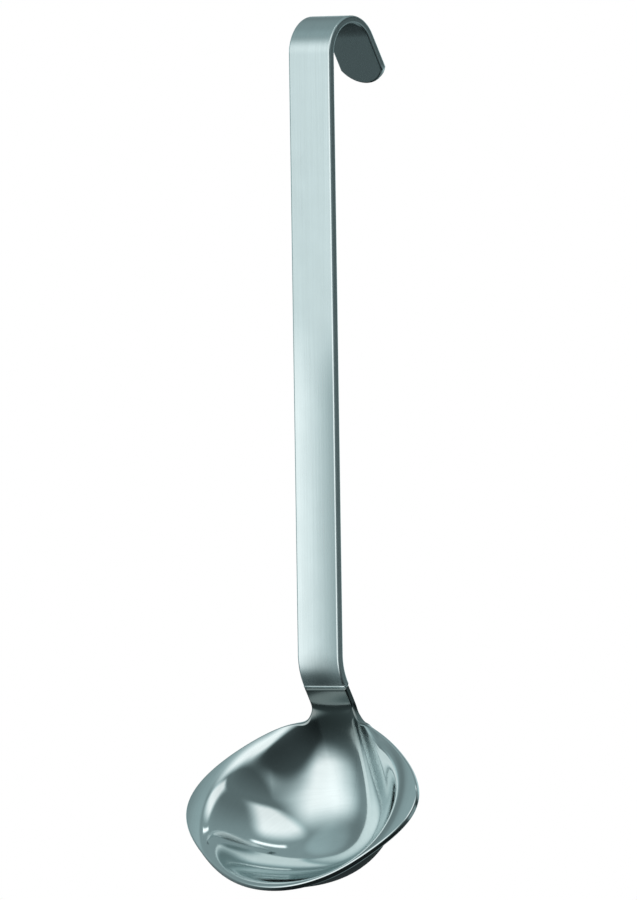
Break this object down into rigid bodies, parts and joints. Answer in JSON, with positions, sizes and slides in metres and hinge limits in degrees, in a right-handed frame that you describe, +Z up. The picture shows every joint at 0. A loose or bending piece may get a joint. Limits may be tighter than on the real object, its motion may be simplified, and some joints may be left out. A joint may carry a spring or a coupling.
{
  "type": "sauce ladle",
  "caption": "Stainless steel sauce ladle: deep oval bowl with a pouring lip on each side, welded to a flat brushed handle with a hanging hook.",
  "frame": {"origin": "hook seat: the middle of the inner face at the top of the hook, where a rail carries the hanging ladle", "axes": "+Z up along the straight handle as it hangs, -Y the front, to which the bowl opens, +X to the right seen from the front"},
  "size_m": [0.0866, 0.0543, 0.2616],
  "materials": {
    "brushed_steel": "stainless steel, brushed along the handle",
    "polished_steel": "stainless steel, polished",
    "weld_steel": "ground weld"
  },
  "bodies": {
    "root": {"handle_strap": "brushed_steel", "bowl": "polished_steel", "neck_weld": "weld_steel"}
  },
  "joints": []
}
